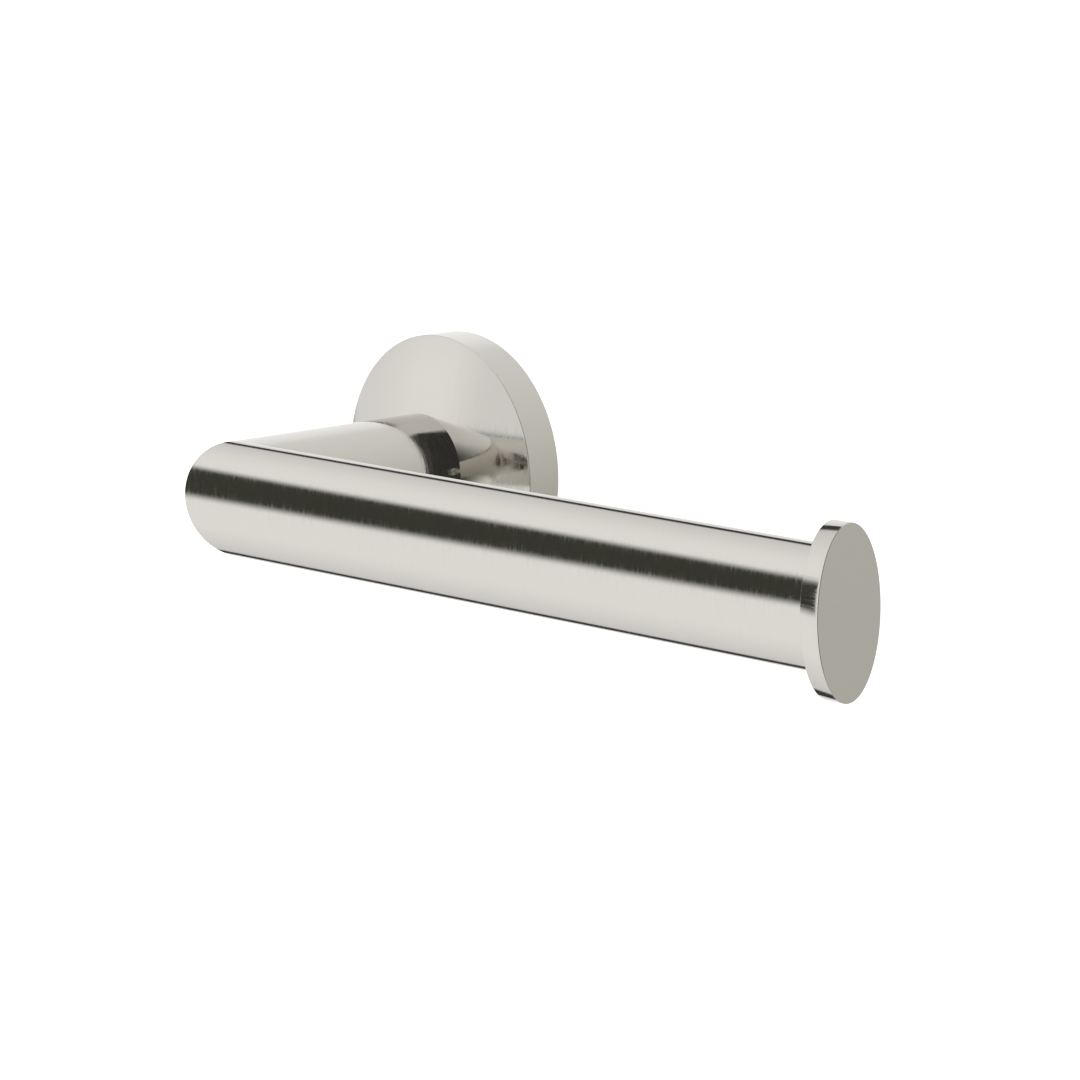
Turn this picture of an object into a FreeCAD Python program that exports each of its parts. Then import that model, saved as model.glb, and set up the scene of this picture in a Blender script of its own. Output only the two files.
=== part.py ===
import FreeCAD, Part
import math
import os

# Wall-mounted toilet paper holder with one arm.
# Frame, in millimetres: the origin is the centre of the flange on the wall, +Y points into the wall,
# +X runs along the roll bar towards its free end, and +Z is up.

# ---- wall flange: a turned, domed cover ----------------------------------------------------------------------
FLANGE_R = 27.5          # outer radius of the cover
FLANGE_RIM = 8.0         # depth of its straight rim, from the wall
DOME_R = 70.0            # radius of the ball that its front face is part of
FLANGE_EDGE = 0.2        # rounding between rim and face
FLANGE_WALL = 4.5        # thickness of the rim, deep enough to tap for the grub screw
COVER_POCKET = 7.4       # depth of the hollow behind the cover
SPIGOT_REACH = 19.5      # how far from the wall the cover's spigot ends, inside the arm

# ---- arm and roll bar -------------------------------------------------------------------------
ARM_R = 11.7             # outer radius of the round arm
ARM_WALL = 2.0
BAR_OFFSET = 61.9        # from the wall to the bar's axis
BAR_DEPTH = 4.5          # half-depth of the oval bar, along Y; its half-height is the arm's radius
BAR_WALL = 1.4
BAR_END = 160.7          # where the bar meets its end cap, along X

# ---- end cap ----------------------------------------------------------------------------------
CAP_DEPTH = 8.2          # half-depth of the oval cap, along Y
CAP_HEIGHT = 16.2        # half-height of the cap
CAP_THICK = 4.3
CAP_EDGE = 0.2           # rounding of its two edges
CAP_SPIGOT = 2.5         # length of the raised oval on its back, which keys into the bar

# ---- pieces inside ----------------------------------------------------------------------------
ARM_HOLLOW = 11.0        # empty tube between the arm plug and the corner key
KEY_IN_BAR = 26.0        # how far the key reaches from the arm's axis into the bar
ARM_PLUG_LENGTH = 13.0
BAR_PLUG_LENGTH = 14.0
PIN_R = 1.25             # pin that stops the arm from turning on the cover
PIN_LENGTH = 8.0
PIN_OFFSET = 6.5         # from the arm's axis, upwards

# ---- bracket behind the cover -----------------------------------------------------------------
BRACKET_PLATE = 2.5      # thickness of the plate against the wall
BRACKET_RING = 3.0       # wall of the ring around the plate
BRACKET_HEIGHT = 6.5     # height of the ring, from the wall
GROOVE_Y = 4.0           # height of the V groove and of the grub screw, from the wall
GROOVE_DEPTH = 1.6
SCREW_SPACING = 28.0     # between the two wall screw holes
SCREW_HOLE_R = 2.4       # clears a 4.5 mm screw
COUNTERSINK_R = 4.4

# ---- fasteners --------------------------------------------------------------------------------
M6_R = 3.0
M6_CLEAR_R = 3.3
M6_HEAD_ACROSS = 10.0    # across the flats of the hexagon
M6_HEAD_HEIGHT = 4.0
M6_LENGTH = 20.0
WASHER_R = 6.0
WASHER_THICK = 1.6
SPRING_WASHER_R = 5.6
SPRING_WASHER_THICK = 1.6
SPRING_WASHER_SPLIT = 1.0
COUNTERBORE_R = 6.6      # recess for the washers and the screw's head
M4_R = 2.0
GRUB_RECESS = 0.3        # how far the grub screw sits inside the rim
GRUB_TIP_R = 0.4         # flat at the end of its cone
GRUB_SOCKET_ACROSS = 2.0
GRUB_SOCKET_DEPTH = 2.2
STUD_IN_PLUG = 10.0      # length of the cap's stud inside the bar plug
STUD_IN_CAP = 2.4        # and beyond the bar's end, inside the cap

# ---- fits -------------------------------------------------------------------------------------
BRAZE_GAP = 0.05         # around plugs and keys in their tubes
SLIDE_GAP = 0.2          # between the cover and the bracket that it slides over
THREAD_GAP = 0.05        # between a plain-turned thread and its hole
SEAT_GAP = 0.02          # where curved faces butt together
TIP_GAP = 0.1            # between the grub screw's cone and the groove
HOLE_END_GAP = 0.2       # beyond the end of a screw, stud or pin
HEAD_CLEAR = 2.3         # between the bracket's plate and the arm screw's head

# ---- worked out -------------------------------------------------------------------------------
OUT = FreeCAD.Vector(0, -1, 0)            # away from the wall
DOME_CENTRE = math.sqrt(DOME_R**2 - FLANGE_R**2) - FLANGE_RIM
ARM_BORE = ARM_R - ARM_WALL
BAR_BORE_DEPTH = BAR_DEPTH - BAR_WALL
BAR_BORE_HEIGHT = ARM_R - BAR_WALL
COVER_BORE = FLANGE_R - FLANGE_WALL
BRACKET_R = COVER_BORE - SLIDE_GAP
HEAD_SEAT = BRACKET_PLATE + HEAD_CLEAR + M6_HEAD_HEIGHT + WASHER_THICK + SPRING_WASHER_THICK
HEAD_BACK = HEAD_SEAT - WASHER_THICK - SPRING_WASHER_THICK
PLUG_START = SPIGOT_REACH + HOLE_END_GAP
KEY_START = PLUG_START + ARM_PLUG_LENGTH + ARM_HOLLOW
PLUG_END = BAR_END - CAP_SPIGOT - HOLE_END_GAP


def from_wall(distance, x=0.0, z=0.0):
    """A point that stands the given distance out from the wall."""
    return FreeCAD.Vector(x, -distance, z)


def rod(radius, start, end, x=0.0, z=0.0):
    """A cylinder along Y, between two distances from the wall."""
    return Part.makeCylinder(radius, end - start, from_wall(start, x, z), OUT)


def oval(half_depth, half_height, start, end):
    """An elliptical bar along X, centred on the roll bar's axis."""
    centre = FreeCAD.Vector(start, -BAR_OFFSET, 0)
    top = centre + FreeCAD.Vector(0, 0, half_height)
    side = centre + FreeCAD.Vector(0, half_depth, 0)
    wire = Part.Wire(Part.Ellipse(top, side, centre).toShape())
    return Part.Face(wire).extrude(FreeCAD.Vector(end - start, 0, 0))


def hexagon(across, start, end):
    """A hexagonal prism along Z, centred on the Z axis at the origin."""
    corner = across / math.sqrt(3)
    angles = [math.radians(60 * turn) for turn in range(7)]
    points = [FreeCAD.Vector(corner * math.cos(a), corner * math.sin(a), start) for a in angles]
    return Part.Face(Part.makePolygon(points)).extrude(FreeCAD.Vector(0, 0, end - start))


def mitre_side(arm_side):
    """A thick slab that holds everything on one side of the mitre plane.

    The plane stands upright, and crosses the arm and the bar where their outlines meet, so the round
    arm and the oval bar have one and the same cut edge.
    """
    slope = BAR_DEPTH / ARM_R
    reach = 2.0 * ARM_R
    near = FreeCAD.Vector(-reach, -BAR_OFFSET - reach * slope, -reach)
    far = FreeCAD.Vector(reach, -BAR_OFFSET + reach * slope, -reach)
    if arm_side:
        others = [FreeCAD.Vector(reach, reach, -reach), FreeCAD.Vector(-reach, reach, -reach)]
    else:
        others = [FreeCAD.Vector(BAR_END + reach, y, -reach) for y in (far.y, near.y)]
    outline = Part.makePolygon([near, far] + others + [near])
    return Part.Face(outline).extrude(FreeCAD.Vector(0, 0, 2 * reach))


def flange_body(extra=0.0):
    """The cover before it is hollowed: a disc whose front is cut to a ball."""
    ball = Part.makeSphere(DOME_R + extra, FreeCAD.Vector(0, DOME_CENTRE, 0))
    return rod(FLANGE_R, 0, DOME_R).common(ball)


def rounded(shape, radius, wanted):
    """The shape with the edges that pass a test rounded."""
    return shape.makeFillet(radius, [edge for edge in shape.Edges if wanted(edge)])


def flange_cover():
    """Cup with a domed face, a spigot for the arm, a recess for the screw's head and a tapped rim."""
    cup = flange_body()

    def is_front_rim(edge):
        ring = isinstance(edge.Curve, Part.Circle) and abs(edge.Curve.Radius - FLANGE_R) < 1e-4
        return ring and edge.Curve.Center.y < -FLANGE_RIM / 2

    cup = rounded(cup, FLANGE_EDGE, is_front_rim)
    cup = cup.fuse(rod(ARM_BORE - BRAZE_GAP, COVER_POCKET, SPIGOT_REACH))
    cup = cup.cut(rod(COVER_BORE, 0, COVER_POCKET))
    cup = cup.cut(rod(COUNTERBORE_R, 0, HEAD_SEAT))
    cup = cup.cut(rod(M6_CLEAR_R, 0, SPIGOT_REACH + 1))
    cup = cup.cut(pin_hole())
    tapped = Part.makeCylinder(M4_R + THREAD_GAP, FLANGE_WALL + 2, from_wall(GROOVE_Y, 0, -FLANGE_R - 1))
    return cup.cut(tapped)


def pin_hole():
    """Hole for the locating pin, half in the cover and half in the arm plug."""
    half = PIN_LENGTH / 2 + HOLE_END_GAP
    return rod(PIN_R + BRAZE_GAP / 2, SPIGOT_REACH - half, PLUG_START + half, 0, PIN_OFFSET)


def locating_pin():
    """Dowel between the cover's spigot and the arm plug."""
    middle = (SPIGOT_REACH + PLUG_START) / 2
    return rod(PIN_R, middle - PIN_LENGTH / 2, middle + PIN_LENGTH / 2, 0, PIN_OFFSET)


def arm():
    """Round tube, hollowed to sit on the cover at one end and mitred at the other."""
    tube = rod(ARM_R, COVER_POCKET, BAR_OFFSET + 2 * ARM_R).cut(rod(ARM_BORE, 0, BAR_OFFSET + 3 * ARM_R))
    return tube.cut(flange_body(SEAT_GAP)).common(mitre_side(True))


def bar():
    """Oval tube, mitred at the corner and square at the free end."""
    start = -2 * ARM_R
    tube = oval(BAR_DEPTH, ARM_R, start, BAR_END)
    tube = tube.cut(oval(BAR_BORE_DEPTH, BAR_BORE_HEIGHT, start - 1, BAR_END + 1))
    return tube.common(mitre_side(False))


def corner_key():
    """Solid elbow inside the mitre that holds the two tubes together."""
    radius = ARM_BORE - BRAZE_GAP
    in_arm = rod(radius, KEY_START, BAR_OFFSET + 2 * ARM_R).common(mitre_side(True))
    in_bar = oval(BAR_BORE_DEPTH - BRAZE_GAP, BAR_BORE_HEIGHT - BRAZE_GAP, -2 * ARM_R, KEY_IN_BAR)
    in_bar = in_bar.common(mitre_side(False))
    return in_arm.fuse(in_bar)


def arm_plug():
    """Tapped plug in the wall end of the arm, which the screw pulls against the cover."""
    plug = rod(ARM_BORE - BRAZE_GAP, PLUG_START, PLUG_START + ARM_PLUG_LENGTH)
    plug = plug.cut(rod(M6_R + THREAD_GAP, 0, PLUG_START + ARM_PLUG_LENGTH + 1))
    return plug.cut(pin_hole())


def arm_screw():
    """Hexagon-head screw that holds the arm to the cover from behind."""
    head = hexagon(M6_HEAD_ACROSS, 0, M6_HEAD_HEIGHT)
    head.rotate(FreeCAD.Vector(0, 0, 0), FreeCAD.Vector(1, 0, 0), 90)
    head.translate(from_wall(HEAD_BACK - M6_HEAD_HEIGHT))
    return head.fuse(rod(M6_R, HEAD_BACK - M6_HEAD_HEIGHT / 2, HEAD_BACK + M6_LENGTH))


def flat_washer():
    """Plain washer against the cover."""
    start = HEAD_SEAT - WASHER_THICK
    return rod(WASHER_R, start, HEAD_SEAT).cut(rod(M6_CLEAR_R, 0, HEAD_SEAT + 1))


def spring_washer():
    """Split washer, shown flat as it is when tight."""
    end = HEAD_BACK + SPRING_WASHER_THICK
    ring = rod(SPRING_WASHER_R, HEAD_BACK, end).cut(rod(M6_CLEAR_R, 0, end + 1))
    corner = FreeCAD.Vector(-SPRING_WASHER_SPLIT / 2, -end - 1, 0)
    split = Part.makeBox(SPRING_WASHER_SPLIT, SPRING_WASHER_THICK + 2, SPRING_WASHER_R + 1, corner)
    return ring.cut(split)


def wall_bracket():
    """Shallow cast cup, screwed to the wall, with a V groove around it for the grub screw."""
    cup = rod(BRACKET_R, 0, BRACKET_HEIGHT).cut(rod(BRACKET_R - BRACKET_RING, BRACKET_PLATE, BRACKET_HEIGHT + 1))
    bottom = BRACKET_R - GROOVE_DEPTH
    corners = [(bottom, 0), (BRACKET_R + 1, -GROOVE_DEPTH - 1), (BRACKET_R + 1, GROOVE_DEPTH + 1), (bottom, 0)]
    outline = Part.makePolygon([FreeCAD.Vector(r, -GROOVE_Y + rise, 0) for r, rise in corners])
    cup = cup.cut(Part.Face(outline).revolve(FreeCAD.Vector(0, 0, 0), FreeCAD.Vector(0, 1, 0), 360))
    for x in (-SCREW_SPACING / 2, SCREW_SPACING / 2):
        cup = cup.cut(rod(SCREW_HOLE_R, -1, BRACKET_HEIGHT, x))
        sink = COUNTERSINK_R - SCREW_HOLE_R
        cup = cup.cut(Part.makeCone(SCREW_HOLE_R, COUNTERSINK_R, sink, from_wall(BRACKET_PLATE - sink, x), OUT))
    return cup


def grub_screw():
    """Cone-point socket screw up through the bottom of the rim, into the bracket's groove."""
    tip = BRACKET_R - GROOVE_DEPTH + TIP_GAP + GRUB_TIP_R
    shoulder = tip + M4_R - GRUB_TIP_R
    outer = FLANGE_R - GRUB_RECESS
    body = Part.makeCylinder(M4_R, outer - shoulder, from_wall(GROOVE_Y, 0, -outer))
    cone = Part.makeCone(M4_R, GRUB_TIP_R, shoulder - tip, from_wall(GROOVE_Y, 0, -shoulder))
    socket = hexagon(GRUB_SOCKET_ACROSS, -outer - 1, -outer + GRUB_SOCKET_DEPTH)
    socket.translate(from_wall(GROOVE_Y))
    return body.fuse(cone).cut(socket)


def bar_rod(radius, start, end):
    """A cylinder on the roll bar's axis."""
    return Part.makeCylinder(radius, end - start, FreeCAD.Vector(start, -BAR_OFFSET, 0), FreeCAD.Vector(1, 0, 0))


def bar_plug():
    """Oval tapped plug inside the bar's free end."""
    plug = oval(BAR_BORE_DEPTH - BRAZE_GAP, BAR_BORE_HEIGHT - BRAZE_GAP, PLUG_END - BAR_PLUG_LENGTH, PLUG_END)
    return plug.cut(bar_rod(M4_R + THREAD_GAP, PLUG_END - STUD_IN_PLUG - HOLE_END_GAP, PLUG_END + 1))


def cap_stud():
    """Threaded stud between the plug and the cap."""
    return bar_rod(M4_R, PLUG_END - STUD_IN_PLUG, BAR_END + STUD_IN_CAP)


def end_cap():
    """Oval disc that keeps the roll on, with an oval key on its back."""
    disc = oval(CAP_DEPTH, CAP_HEIGHT, BAR_END, BAR_END + CAP_THICK)
    disc = rounded(disc, CAP_EDGE, lambda edge: isinstance(edge.Curve, Part.Ellipse))
    key = oval(BAR_BORE_DEPTH - BRAZE_GAP, BAR_BORE_HEIGHT - BRAZE_GAP, BAR_END - CAP_SPIGOT, BAR_END + CAP_EDGE)
    hole = bar_rod(M4_R + THREAD_GAP, BAR_END - CAP_SPIGOT - 1, BAR_END + STUD_IN_CAP + HOLE_END_GAP)
    return disc.fuse(key).cut(hole)


PIECES = [flange_cover, arm, bar, corner_key, end_cap, arm_plug, arm_screw, flat_washer, spring_washer,
          locating_pin, wall_bracket, grub_screw, bar_plug, cap_stud]

os.makedirs("parts", exist_ok=True)
for make in PIECES:
    piece = make().removeSplitter()
    name = make.__name__
    print(name, "solids", len(piece.Solids), "valid", piece.isValid(), "volume", round(piece.Volume, 1))
    piece.exportStep("parts/" + name + ".step")
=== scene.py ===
# %% [markdown]
# # A toilet paper holder in brushed nickel
# The holder is a domed round flange, a round arm, a flat oval bar joined to the arm at a sharp mitre,
# and an oval cap. It fixes where each piece is and how it moves, so this lesson only makes the
# surfaces and the finishes.

# %% Load the frame
import math

import bpy
import numpy as np
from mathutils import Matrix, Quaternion, Vector


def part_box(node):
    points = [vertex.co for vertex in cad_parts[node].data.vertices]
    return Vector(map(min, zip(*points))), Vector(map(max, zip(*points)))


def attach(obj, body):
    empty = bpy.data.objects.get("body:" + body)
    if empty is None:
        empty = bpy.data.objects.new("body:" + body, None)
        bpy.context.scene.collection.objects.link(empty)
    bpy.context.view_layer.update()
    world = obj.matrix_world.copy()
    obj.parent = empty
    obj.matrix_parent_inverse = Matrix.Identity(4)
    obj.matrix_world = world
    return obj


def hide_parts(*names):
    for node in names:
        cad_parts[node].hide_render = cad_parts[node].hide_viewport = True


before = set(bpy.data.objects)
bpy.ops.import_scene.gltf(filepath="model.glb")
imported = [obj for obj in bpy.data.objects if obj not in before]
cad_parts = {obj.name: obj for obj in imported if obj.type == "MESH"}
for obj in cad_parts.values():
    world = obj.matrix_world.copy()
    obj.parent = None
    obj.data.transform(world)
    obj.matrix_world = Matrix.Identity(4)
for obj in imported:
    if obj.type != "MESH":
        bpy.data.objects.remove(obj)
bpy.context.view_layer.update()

# %% [markdown]
# ## Sizes
# The places come from the boxes of the design's own nodes. Only what a box can't tell, such as the
# radius of the dome or of a small rounding, is a number of its own. Everything is in metres.

# %% Sizes from the design
MM = 0.001
cover_low, cover_high = (np.array(corner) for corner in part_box("flange_cover"))
arm_low, arm_high = (np.array(corner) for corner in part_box("arm"))
bar_low, bar_high = (np.array(corner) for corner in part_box("bar"))
cap_low, cap_high = (np.array(corner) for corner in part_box("end_cap"))
grub_low, grub_high = (np.array(corner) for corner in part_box("grub_screw"))

FLANGE_R = cover_high[0]
ARM_R = arm_high[2]
BAR_DEPTH = (bar_high[1] - bar_low[1]) / 2
BAR_Y = (bar_high[1] + bar_low[1]) / 2
BAR_END = bar_high[0]
CAP_DEPTH = (cap_high[1] - cap_low[1]) / 2
CAP_HEIGHT = cap_high[2]
CAP_FRONT = cap_high[0]
GRUB_Y = (grub_low[1] + grub_high[1]) / 2
GRUB_R = (grub_high[0] - grub_low[0]) / 2

FLANGE_RIM = 8.0 * MM
FLANGE_WALL = 4.5 * MM
DOME_R = 70.0 * MM
EDGE = 0.12 * MM
POCKET = 7.4 * MM
SPIGOT_R = 9.65 * MM
SPIGOT_END = 19.5 * MM
RECESS_R = 6.6 * MM
RECESS_DEPTH = 12.0 * MM
SCREW_HOLE_R = 3.3 * MM
THREAD_GAP = 0.05 * MM

AROUND = 256                          # points around the cover, the tubes and the cap
CREASE = math.radians(28)             # faces that meet at more than this keep a sharp edge
for label, size in (("flange radius", FLANGE_R), ("arm radius", ARM_R), ("bar half-depth", BAR_DEPTH)):
    print(label, round(size / MM, 2), "mm")

# %% [markdown]
# ## From a grid of points to a mesh
# Every new piece here is a grid: a row of rings, each with the same number of points. One helper joins
# neighbouring rings with four-sided faces. A piece that ends in a flat or a point gets a single
# vertex there, and a ring of triangles closes it. A piece with a hole through it closes on itself
# instead. Doing this once means that each shape below is only a formula for its points.

# %% Skin a grid
def skin(name, rings, start=None, end=None, looped=False):
    """Mesh object from rings of shape (n, m, 3).

    Point j of ring i joins its neighbours (i+1, j) and (i, j+1).
    """
    count, around = rings.shape[:2]
    points = rings.reshape(-1, 3)
    last = count if looped else count - 1
    i, j = np.meshgrid(np.arange(last), np.arange(around), indexing="ij")
    below, beside = (i + 1) % count, (j + 1) % around
    corners = [i * around + j, i * around + beside, below * around + beside, below * around + j]
    faces = np.stack(corners, axis=-1).reshape(-1, 4).tolist()
    ring = np.arange(around)
    nearby = (ring + 1) % around
    if start is not None:
        hub = len(points)
        points = np.vstack([points, start])
        faces += np.stack([np.full(around, hub), nearby, ring], axis=-1).tolist()
    if end is not None:
        hub = len(points)
        base = (count - 1) * around
        points = np.vstack([points, end])
        faces += np.stack([np.full(around, hub), base + ring, base + nearby], axis=-1).tolist()
    mesh = bpy.data.meshes.new(name)
    mesh.from_pydata(points.tolist(), [], faces)
    mesh.update()
    mesh.shade_smooth()
    piece = bpy.data.objects.new(name, mesh)
    bpy.context.scene.collection.objects.link(piece)
    return piece


def outward(piece):
    """Turns the faces outwards if the mesh's signed volume, a sum over its triangles, is negative."""
    mesh = piece.data
    mesh.calc_loop_triangles()
    corners = np.empty(len(mesh.loop_triangles) * 3, dtype=np.int32)
    mesh.loop_triangles.foreach_get("vertices", corners)
    places = np.empty(len(mesh.vertices) * 3)
    mesh.vertices.foreach_get("co", places)
    a, b, c = (places.reshape(-1, 3)[corners.reshape(-1, 3)[:, k]] for k in range(3))
    volume = float(np.sum(a * np.cross(b, c)) / 6)
    if volume < 0:
        mesh.flip_normals()
    mesh.set_sharp_from_angle(angle=CREASE)
    print(piece.name, "faces", len(mesh.polygons), "volume", round(abs(volume) * 1e9), "mm3")
    return piece


def turn(count):
    """Angles evenly spread over one full turn, without repeating the first."""
    return np.linspace(0, 2 * math.pi, count, endpoint=False)

# %% [markdown]
# ## The flange cover
# The real cover is turned on a lathe, so its surface is a profile spun about the arm's axis. The
# profile runs up the rim, over a small rounding, along a shallow dome, around the spigot inside the
# arm, and back through the hollow where the bracket sits. The dome is part of a ball, and an arc of
# that ball keeps its reflections smooth. A disc with a bulge modelled by hand would make them wobble.

# %% Flange cover
def arc(centre, radius, first, last, count):
    """Points of a circle's arc in the (radius, height) plane, between two angles in radians."""
    angles = np.linspace(first, last, count)
    return np.stack([centre[0] + radius * np.cos(angles), centre[1] + radius * np.sin(angles)], axis=-1)


def line(start, end, count):
    """Evenly spaced points of a straight run, without its last one."""
    steps = np.linspace(0, 1, count, endpoint=False)[:, None]
    return np.array(start) * (1 - steps) + np.array(end) * steps


DOME_CENTRE = FLANGE_RIM - math.sqrt(DOME_R**2 - FLANGE_R**2)


def dome_height(radius):
    """Height of the dome above the wall at a radius: a ball of radius DOME_R centred behind the wall."""
    return DOME_CENTRE + math.sqrt(DOME_R**2 - radius**2)


def cover_profile():
    """Closed outline of the cover as (radius, height from the wall).

    The rounding is a circle of radius EDGE that touches the rim and the ball from inside. So its centre
    is at radius FLANGE_R - EDGE, and DOME_R - EDGE from the ball's centre.
    """
    corner_r = FLANGE_R - EDGE
    corner = (corner_r, DOME_CENTRE + math.sqrt((DOME_R - EDGE) ** 2 - corner_r**2))
    touch = math.atan2(corner[1] - DOME_CENTRE, corner_r)
    bore = FLANGE_R - FLANGE_WALL
    return np.vstack([
        line((FLANGE_R, 0), (FLANGE_R, corner[1]), 12),
        arc(corner, EDGE, 0, touch, 8),
        arc((0, DOME_CENTRE), DOME_R, touch, math.acos(SPIGOT_R / DOME_R), 60)[1:-1],
        line((SPIGOT_R, dome_height(SPIGOT_R)), (SPIGOT_R, SPIGOT_END), 4),
        line((SPIGOT_R, SPIGOT_END), (SCREW_HOLE_R, SPIGOT_END), 4),
        line((SCREW_HOLE_R, SPIGOT_END), (SCREW_HOLE_R, RECESS_DEPTH), 4),
        line((SCREW_HOLE_R, RECESS_DEPTH), (RECESS_R, RECESS_DEPTH), 3),
        line((RECESS_R, RECESS_DEPTH), (RECESS_R, POCKET), 3),
        line((RECESS_R, POCKET), (bore, POCKET), 6),
        line((bore, POCKET), (bore, 0), 4),
        line((bore, 0), (FLANGE_R, 0), 3),
    ])


def spun(name, profile, around):
    """A profile of (radius, height) spun about the Y axis: x = r cos a, z = r sin a, y = -height."""
    angle = turn(around)[None, :]
    radius, height = profile[:, 0, None], profile[:, 1, None]
    flat = np.zeros_like(angle)
    rings = np.stack([radius * np.cos(angle), -height + flat, radius * np.sin(angle)], axis=-1)
    return skin(name, rings, looped=True)


cover = outward(spun("flange_cover_turned", cover_profile(), AROUND))

# %% [markdown]
# The cover has one hole that a lathe can't make: the tapped hole for the grub screw, up through the
# bottom of the rim. It is drilled with a Boolean, and the modifier is applied so that the piece stays
# one plain mesh. A drill is a cylinder, with its own rings and hubs.

# %% Drill the rim
DRILL_SIDES = 48


def drill(piece, radius, y, low, high):
    """Takes a round hole along Z, centred at x = 0 and the given y, out of a piece."""
    angle = turn(DRILL_SIDES)
    ring = np.stack([radius * np.cos(angle), y + radius * np.sin(angle), np.zeros_like(angle)], axis=-1)
    rings = np.stack([ring + (0, 0, z) for z in (low, high)])
    bit = skin("drill", rings, start=(0, y, low), end=(0, y, high))
    outward(bit)
    cut = piece.modifiers.new("hole", "BOOLEAN")
    cut.operation, cut.object, cut.solver = "DIFFERENCE", bit, "EXACT"
    drilled = bpy.data.meshes.new_from_object(piece.evaluated_get(bpy.context.evaluated_depsgraph_get()))
    piece.modifiers.clear()
    piece.data = drilled
    drilled.set_sharp_from_angle(angle=CREASE)
    bpy.data.objects.remove(bit)
    print("drilled", piece.name, len(drilled.polygons), "faces")


bpy.context.view_layer.update()
drill(cover, GRUB_R + THREAD_GAP, GRUB_Y, -FLANGE_R - MM, -FLANGE_R + FLANGE_WALL + MM)
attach(cover, "holder")
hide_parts("flange_cover")

# %% [markdown]
# ## The arm and the bar
# The arm is a round tube and the bar a flat oval one. One upright plane cuts both, at the slant where
# the arm's circle and the bar's oval become the same curve. Each tube is straight lines between two
# end curves, so a point is worked out from its angle and from how far along it lies.

# %% Arm and bar
def between(first, last, count):
    """Rings spaced evenly from one closed curve of shape (m, 3) to another."""
    share = np.linspace(0, 1, count)[:, None, None]
    return first[None] * (1 - share) + last[None] * share


angle = turn(AROUND)
round_x, round_z = ARM_R * np.cos(angle), ARM_R * np.sin(angle)
foot_y = -dome_height(ARM_R)
oval_y = BAR_Y + BAR_DEPTH * np.cos(angle)
mitre = np.stack([round_x, oval_y, round_z], axis=-1)
at_wall = np.stack([round_x, np.full(AROUND, foot_y), round_z], axis=-1)
at_cap = np.stack([np.full(AROUND, BAR_END), oval_y, round_z], axis=-1)

elbow, free_end = (0, BAR_Y, 0), (BAR_END, BAR_Y, 0)
arm = outward(skin("arm_tube", between(at_wall, mitre, 24), start=(0, foot_y, 0), end=elbow))
bar = outward(skin("roll_bar_tube", between(mitre, at_cap, 64), start=elbow, end=free_end))
for piece, node in ((arm, "arm"), (bar, "bar")):
    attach(piece, "holder")
    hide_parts(node)

# %% [markdown]
# ## The end cap
# The cap is an oval disc with its two edges just broken. Each of its rings is the outline with both
# half-widths shortened by the same inset. On a rounded edge, that inset and the depth follow a quarter
# circle. Two more rings just inside each rounding keep the flat faces flat in the shading.

# %% End cap
def cap_rings():
    """Ovals from the back to the front: each is the outline drawn in by an inset, at its own x."""
    quarter = np.linspace(0, math.pi / 2, 8)
    inset = EDGE * (1 - np.sin(quarter))
    depth = EDGE * (1 - np.cos(quarter))
    flat = np.array([2.0, 1.25]) * EDGE
    insets = np.concatenate([flat, inset, inset[::-1], flat[::-1]])
    back, front = BAR_END, CAP_FRONT
    places = np.concatenate([[back, back], back + depth, front - depth[::-1], [front, front]])
    half_depth, half_height = CAP_DEPTH - insets[:, None], CAP_HEIGHT - insets[:, None]
    xs = places[:, None] + np.zeros((1, AROUND))
    return np.stack([xs, BAR_Y + half_depth * np.cos(angle), half_height * np.sin(angle)], axis=-1)


cap = outward(skin("end_cap_disc", cap_rings(), start=free_end, end=(CAP_FRONT, BAR_Y, 0)))
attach(cap, "holder")
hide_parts("end_cap")

# %% [markdown]
# ## Writing shader maths as Python
# A material is a small program, and arithmetic reads better as an expression than as a list of nodes.
# Value wraps one socket. Adding, subtracting, multiplying or dividing values adds the Math node that
# does it. Sheet holds a node tree, and its one method, node, adds any other node by type. Three small
# functions, blend, split and metal, name the combinations that come back in several materials.

# %% Shader helpers
class Value:
    """One output socket of a node tree, with arithmetic."""

    def __init__(self, sheet, socket):
        self.sheet, self.socket = sheet, socket

    def math(self, operation, *others, **settings):
        inputs = dict(enumerate((self, *others)))
        return self.sheet.node("ShaderNodeMath", {"operation": operation, **settings}, inputs)

    def __add__(self, other):
        return self.math("ADD", other)

    def __mul__(self, other):
        return self.math("MULTIPLY", other)

    def __sub__(self, other):
        return self.math("SUBTRACT", other)

    def __truediv__(self, other):
        return self.math("DIVIDE", other)

    def __rsub__(self, other):
        return (self * -1.0) + other

    __radd__ = __add__
    __rmul__ = __mul__

    def ramp(self, low, high, first=0.0, last=1.0):
        """A smooth step: first below low, last above high."""
        return self.sheet.node("ShaderNodeMapRange", {"interpolation_type": "SMOOTHSTEP"}, {
            "Value": self, "From Min": low, "From Max": high, "To Min": first, "To Max": last})


class Sheet:
    """A node tree that is cleared and then written with node()."""

    def __init__(self, owner):
        owner.use_nodes = True
        self.tree = owner.node_tree
        self.tree.nodes.clear()

    def node(self, kind, settings=None, inputs=None, output=0):
        made = self.tree.nodes.new(kind)
        for key, value in (settings or {}).items():
            if key == "stops":
                write_stops(made.color_ramp, value)
            else:
                setattr(made, key, value)
        for key, value in (inputs or {}).items():
            if isinstance(value, Value):
                self.tree.links.new(value.socket, made.inputs[key])
            else:
                made.inputs[key].default_value = value
        return Value(self, made.outputs[output]) if made.outputs else None


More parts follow.
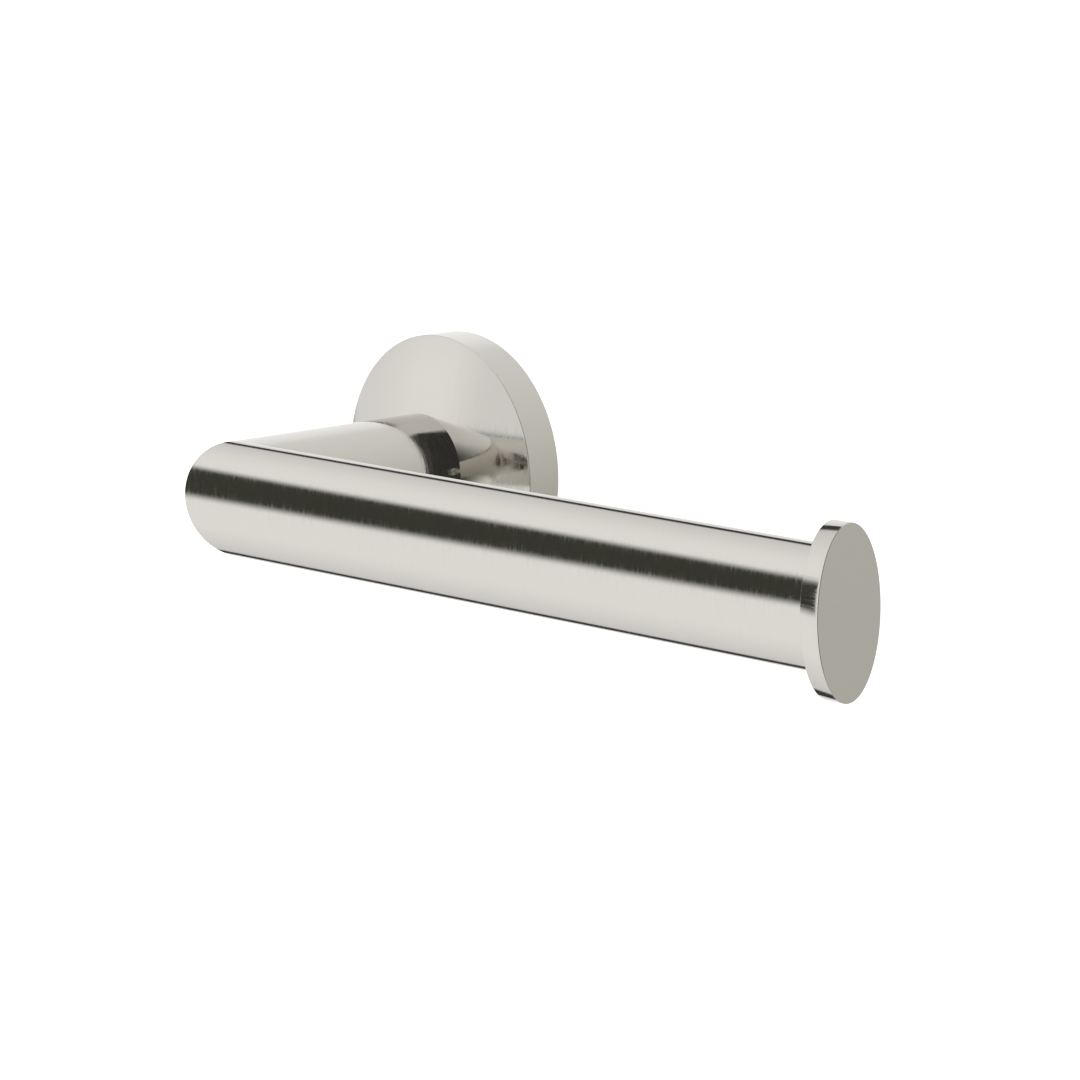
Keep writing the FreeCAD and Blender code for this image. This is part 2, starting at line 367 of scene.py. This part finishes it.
def write_stops(ramp, stops):
    """Sets a colour ramp's stops from (place, colour) pairs."""
    while len(ramp.elements) > 1:
        ramp.elements.remove(ramp.elements[-1])
    ramp.elements[0].position = stops[0][0]
    for place, _ in stops[1:]:
        ramp.elements.new(place)
    for element, (place, colour) in zip(ramp.elements, stops):
        element.position = place
        element.color = (*colour, 1.0)


def blend(sheet, share, first, second):
    """A colour that runs from first to second as share runs from 0 to 1. A colour may be plain numbers."""
    ends = [c if isinstance(c, Value) else (*c, 1.0) for c in (first, second)]
    return sheet.node("ShaderNodeMix", {"data_type": "RGBA"}, {0: share, 6: ends[0], 7: ends[1]}, output=2)


def split(sheet, vector):
    """The x, y and z of a vector, as three values."""
    apart = sheet.node("ShaderNodeSeparateXYZ", {}, {"Vector": vector})
    return [Value(sheet, socket) for socket in apart.socket.node.outputs]


def metal(sheet, colour, roughness, bumps):
    """Ends a sheet with a bare metal surface."""
    shine = sheet.node("ShaderNodeBsdfPrincipled", {}, {
        "Base Color": colour, "Metallic": 1.0, "Roughness": roughness, "Normal": bumps})
    sheet.node("ShaderNodeOutputMaterial", {}, {"Surface": shine})

# %% [markdown]
# ## Brushed nickel
# A belt or a brush leaves fine parallel scratches. On the bar and the arm they run around the tube, on
# the flange up and down, and on the cap nearly level. Scratches spread a reflection across them and
# keep it sharp along them, so a light's edge looks frayed in one direction only. Noise stretched along
# the scratches gives their height, and the same noise varies the roughness and, a little, the colour.

# %% Brushed nickel
NICKEL = (0.735, 0.715, 0.672)
NICKEL_DULL = (0.690, 0.672, 0.628)
ACROSS, ALONG = 3600.0, 260.0         # noise cycles per metre across the scratches and along them
CAP_ALONG = 200.0
CAP_SLANT = math.radians(4)           # the cap's scratches aren't quite level
SOFT_HEIGHT = 0.9e-6                  # depth in metres of the scratches on the arm and the flange


def brushed_nickel(name, grain, turned=(0.0, 0.0, 0.0), height=2.0e-6, rough=0.09):
    """Nickel with scratches. Grain is noise cycles per metre on x, y and z, and is small along them."""
    finish = bpy.data.materials.new(name)
    sheet = Sheet(finish)
    place = sheet.node("ShaderNodeTexCoord", output=3)

    def scratches(share, detail, offset):
        mapped = sheet.node("ShaderNodeMapping", {}, {
            "Vector": place, "Rotation": turned, "Scale": tuple(g * share for g in grain),
            "Location": (offset, offset, offset)})
        return sheet.node("ShaderNodeTexNoise", {}, {
            "Vector": mapped, "Scale": 1.0, "Detail": detail, "Roughness": 0.6})

    fine = scratches(1.0, 3.0, 0.0)
    medium = scratches(0.33, 2.0, 3.7)
    broad = scratches(0.09, 2.0, 8.1)
    smudge = sheet.node("ShaderNodeTexNoise", {}, {"Vector": place, "Scale": 45.0, "Detail": 2.0})
    bumps = sheet.node("ShaderNodeBump", {}, {
        "Height": fine * 0.5 + medium * 0.8 + broad * 0.15, "Strength": 1.0, "Distance": height})
    wear = (fine * 0.5 + medium * 0.5).ramp(0.35, 0.65)
    tint = blend(sheet, wear * 0.12 + smudge * 0.15, NICKEL, NICKEL_DULL)
    metal(sheet, tint, rough + (fine - 0.5) * 0.36 + (medium - 0.5) * 0.05, bumps)
    return finish


def wear_finish(obj, finish):
    """Gives an object one material and no other."""
    obj.data.materials.clear()
    obj.data.materials.append(finish)


bar_nickel = brushed_nickel("nickel_brushed_around_bar", (ACROSS, ALONG, ALONG))
arm_nickel = brushed_nickel("nickel_brushed_around_arm", (ALONG, ACROSS, ALONG), height=SOFT_HEIGHT)
flange_nickel = brushed_nickel("nickel_brushed_upright", (ACROSS, ALONG, ALONG), height=SOFT_HEIGHT)
cap_nickel = brushed_nickel("nickel_brushed_level", (CAP_ALONG, CAP_ALONG, ACROSS),
                            turned=(CAP_SLANT, 0.0, 0.0))
for piece, finish in ((bar, bar_nickel), (arm, arm_nickel), (cover, flange_nickel), (cap, cap_nickel)):
    wear_finish(piece, finish)
print("nickel on", cover.name, arm.name, bar.name, cap.name)

# %% [markdown]
# ## Metals of the hidden pieces
# What sits behind the cover and inside the tubes isn't brushed. Brass is cut, which leaves fine rings
# around each piece's own axis. The bracket is cast, so it is pebbled and dull. Plated steel is nearly
# smooth with a faint mottle. One function makes them all, because only their colour, grain and depth
# differ.

# %% Inner metals
def plain_metal(name, light, dark, rough, grain, height):
    """A metal with a mottle of two tones and a fine pebbled or lined surface."""
    finish = bpy.data.materials.new(name)
    sheet = Sheet(finish)
    place = sheet.node("ShaderNodeTexCoord", output=3)
    mapped = sheet.node("ShaderNodeMapping", {}, {"Vector": place, "Scale": grain})
    fine = sheet.node("ShaderNodeTexNoise", {}, {
        "Vector": mapped, "Scale": 1.0, "Detail": 4.0, "Roughness": 0.6})
    mottle = sheet.node("ShaderNodeTexNoise", {}, {"Vector": place, "Scale": 180.0, "Detail": 3.0})
    bumps = sheet.node("ShaderNodeBump", {}, {"Height": fine, "Strength": 1.0, "Distance": height})
    tint = blend(sheet, (fine * 0.5 + mottle * 0.5).ramp(0.35, 0.65), light, dark)
    metal(sheet, tint, rough + (mottle - 0.5) * 0.2, bumps)
    return finish


BRASS = ((0.80, 0.60, 0.28), (0.62, 0.44, 0.18))
ZINC = ((0.52, 0.53, 0.55), (0.34, 0.35, 0.37))
PLATE = ((0.68, 0.70, 0.72), (0.52, 0.55, 0.60))
TEMPERED = ((0.22, 0.22, 0.24), (0.12, 0.12, 0.14))
STAINLESS = ((0.60, 0.59, 0.57), (0.46, 0.45, 0.44))
# each row: name, two tones, roughness, grain in cycles per metre, depth in metres, the nodes it goes on
METALS = [
    ("brass_turned", BRASS, 0.28, (300.0, 3000.0, 300.0), 2e-6, ["arm_plug"]),
    ("brass_drawn", BRASS, 0.30, (3000.0, 300.0, 300.0), 2e-6, ["corner_key", "bar_plug"]),
    ("zinc_as_cast", ZINC, 0.50, (900.0, 900.0, 900.0), 2e-5, ["wall_bracket"]),
    ("steel_zinc_plated", PLATE, 0.25, (700.0, 700.0, 700.0), 2e-6, ["arm_screw", "flat_washer", "cap_stud"]),
    ("steel_tempered", TEMPERED, 0.35, (900.0, 900.0, 900.0), 3e-6, ["spring_washer", "locating_pin"]),
    ("steel_stainless", STAINLESS, 0.26, (300.0, 300.0, 3000.0), 2e-6, ["grub_screw"]),
]
for name, tones, rough, grain, height, nodes in METALS:
    finish = plain_metal(name, *tones, rough, grain, height)
    for node in nodes:
        wear_finish(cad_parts[node], finish)
print("inner metals:", [row[0] for row in METALS])

# %% [markdown]
# ## The studio
# Polished metal shows its surroundings, so the studio is designed as what the metal sees. It is mostly
# bright. Two narrow dark gaps on the left, one just behind overhead and one just behind straight down,
# draw the thin lines along the bar's edges. The right is dimmer, which the cap's face shows, and a
# near-black side from the right round to the front darkens the foot of the arm. Panels all round would
# stand in the way of other views, so this is written as the world's colour by direction.

# %% Studio world
DARK_SIDE = 0.045
BESIDE_GREY = 0.80


def studio():
    """The world: a colour for each direction, worked out from the direction's x, y and z."""
    world = bpy.data.worlds.new("studio")
    sheet = Sheet(world)
    x, y, z = split(sheet, sheet.node("ShaderNodeTexCoord", output=0))
    degrees = 180 / math.pi

    # around the bar: 0 is the front, 90 overhead, -90 straight down
    around = z.math("ARCTAN2", y * -1.0) * degrees

    def grey(level):
        return (level, level * 0.998, level * 0.99)

    levels = [
        (-180, 1.0), (-140, 0.98), (-118, 0.90), (-113, 0.05), (-95, 0.05), (-90, 0.74), (-70, 0.82),
        (-56, 0.88), (-40, 0.96), (22, 0.96), (33, 0.93), (40, 0.90), (50, 0.85), (63, 0.81), (85, 0.74),
        (91, 0.05), (108, 0.05), (113, 0.90), (140, 0.97), (180, 1.0)]
    stops = [((bearing + 180) / 360, grey(level)) for bearing, level in levels]
    bands = sheet.node("ShaderNodeValToRGB", {"stops": stops}, {0: (around + 180.0) / 360.0})
    # the strips only matter where the bar looks, near x = -0.7; to both sides of that they fade into grey
    beside = (x + 0.70).math("ABSOLUTE").ramp(0.06, 0.40) * 0.9
    strips = blend(sheet, beside, bands, grey(BESIDE_GREY))
    right = (x.ramp(-0.60, 0.45) * y.ramp(0.0, 0.3)).math("MAXIMUM", x.ramp(-0.05, 0.60))
    dim = [z * 0.22 + level for level in (0.585, 0.58, 0.555)]
    plain = sheet.node("ShaderNodeCombineColor", {}, dict(enumerate(dim)))
    room = blend(sheet, right, strips, plain)

    # the dark side: swing is the angle from the right towards the front
    rise = z.math("ARCSINE") * degrees
    swing = (y * -1.0).math("ARCTAN2", x) * degrees
    dark = rise.ramp(-45.0, -35.0) * rise.ramp(80.0, 90.0, 1.0, 0.0) * swing.ramp(-26.0, -12.0)
    dark = dark * swing.ramp(60.0, 84.0, 1.0, 0.0)
    lit = blend(sheet, dark, room, grey(DARK_SIDE))

    # behind the holder the camera itself sees plain white
    seen = sheet.node("ShaderNodeLightPath", output=0)
    shown = blend(sheet, seen, lit, (1.0, 1.0, 1.0))
    back = sheet.node("ShaderNodeBackground", {}, {"Color": shown, "Strength": 1.0})
    sheet.node("ShaderNodeOutputWorld", {}, {"Surface": back})
    return world


bpy.context.scene.world = studio()
bpy.context.scene.view_settings.view_transform = "Standard"

# %% [markdown]
# ## The floor
# The holder hangs on a wall, so the floor lies well below it. It is large enough to fill the view, and
# it glows, so it stays as white as the background. It isn't shown in reflections, where the studio's
# own light from below takes its place.

# %% Floor
FLOOR_Z = -0.9
FLOOR_HALF = 40.0
FLOOR_GLOW = 0.8
side = np.array([[-1.0, -1.0], [1.0, -1.0], [1.0, 1.0], [-1.0, 1.0]]) * FLOOR_HALF
floor_mesh = bpy.data.meshes.new("floor")
floor_mesh.from_pydata(np.column_stack([side, np.full(4, FLOOR_Z)]).tolist(), [], [[0, 1, 2, 3]])
floor = bpy.data.objects.new("floor", floor_mesh)
bpy.context.scene.collection.objects.link(floor)
paint = bpy.data.materials.new("floor_white")
sheet = Sheet(paint)
place = sheet.node("ShaderNodeTexCoord", output=3)
speckle = sheet.node("ShaderNodeTexNoise", {}, {"Vector": place, "Scale": 4.0})
coat = sheet.node("ShaderNodeBsdfPrincipled", {}, {
    "Base Color": (0.9, 0.9, 0.9, 1.0), "Roughness": 0.9 + (speckle - 0.5) * 0.05,
    "Emission Color": (1.0, 1.0, 1.0, 1.0), "Emission Strength": FLOOR_GLOW})
sheet.node("ShaderNodeOutputMaterial", {}, {"Surface": coat})
wear_finish(floor, paint)
floor.visible_glossy = False

# %% [markdown]
# ## The black flag
# The bar's dark band is the image of a black flag, a long low card stood in front of polished metal to
# give its shine an edge. It stands close, so most of the flange, further back, sees past it. Only
# reflections show it. Its edges fade, because rough metal gives no hard edge back.

# %% Black flag
FLAG_GAP = 0.060                      # from the bar to the flag, along Y
FLAG_LEFT, FLAG_RIGHT = -0.092, 0.125
FLAG_LOW, FLAG_HIGH = -0.0215, 0.0209
FLAG_FADE = 0.0045
FLAG_SLOPE = 0.03                     # rise of its lower edge for each metre to the right
FLAG_BLACK = (0.047, 0.049, 0.038, 1.0)
flag_y = BAR_Y - FLAG_GAP
corners = [(FLAG_LEFT, FLAG_LOW), (FLAG_LEFT, FLAG_HIGH), (FLAG_RIGHT, FLAG_HIGH), (FLAG_RIGHT, FLAG_LOW)]
flag_mesh = bpy.data.meshes.new("black_flag")
flag_mesh.from_pydata([(x, flag_y, z) for x, z in corners], [], [[0, 1, 2, 3]])
flag = bpy.data.objects.new("black_flag", flag_mesh)
bpy.context.scene.collection.objects.link(flag)
felt = bpy.data.materials.new("flag_felt")
sheet = Sheet(felt)
across, _, upward = split(sheet, sheet.node("ShaderNodeTexCoord", output=3))
over = upward - across * FLAG_SLOPE
solid = over.ramp(FLAG_LOW + FLAG_FADE, FLAG_LOW + 3 * FLAG_FADE)
solid = solid * upward.ramp(FLAG_HIGH - 2 * FLAG_FADE, FLAG_HIGH, 1.0, 0.0)
solid = solid * across.ramp(FLAG_LEFT, FLAG_LEFT + FLAG_FADE)
black = sheet.node("ShaderNodeEmission", {}, {"Color": FLAG_BLACK, "Strength": 1.0})
clear = sheet.node("ShaderNodeBsdfTransparent")
card = sheet.node("ShaderNodeMixShader", {}, {0: solid, 1: clear, 2: black})
sheet.node("ShaderNodeOutputMaterial", {}, {"Surface": card})
wear_finish(flag, felt)
flag.visible_camera = flag.visible_diffuse = flag.visible_shadow = False

# %% [markdown]
# ## The camera
# The camera stands to the right of the holder, a little above it, with a long lens that hardly narrows
# the far end of the bar.

# %% Camera
CAMERA_PLACE = (0.7202, -0.6673, 0.1652)
CAMERA_TURN, CAMERA_TILT, CAMERA_ROLL = math.radians(-46.30), math.radians(-10.49), math.radians(-0.34)
LENS = 159.16

level = math.cos(CAMERA_TILT)
facing = Vector((math.sin(CAMERA_TURN) * level, math.cos(CAMERA_TURN) * level, math.sin(CAMERA_TILT)))
lens = bpy.data.cameras.new("camera")
lens.lens, lens.sensor_width, lens.clip_start, lens.clip_end = LENS, 36.0, 0.01, 200.0
camera = bpy.data.objects.new("camera", lens)
camera.location = CAMERA_PLACE
upright = facing.to_track_quat("-Z", "Y")
camera.rotation_euler = (upright @ Quaternion((0, 0, 1), CAMERA_ROLL)).to_euler()
bpy.context.scene.collection.objects.link(camera)
bpy.context.scene.camera = camera

# %% [markdown]
# ## Sizes, and finish
# The scene is brought up to date at the end.

# %% Sizes, and finish
bpy.context.view_layer.update()
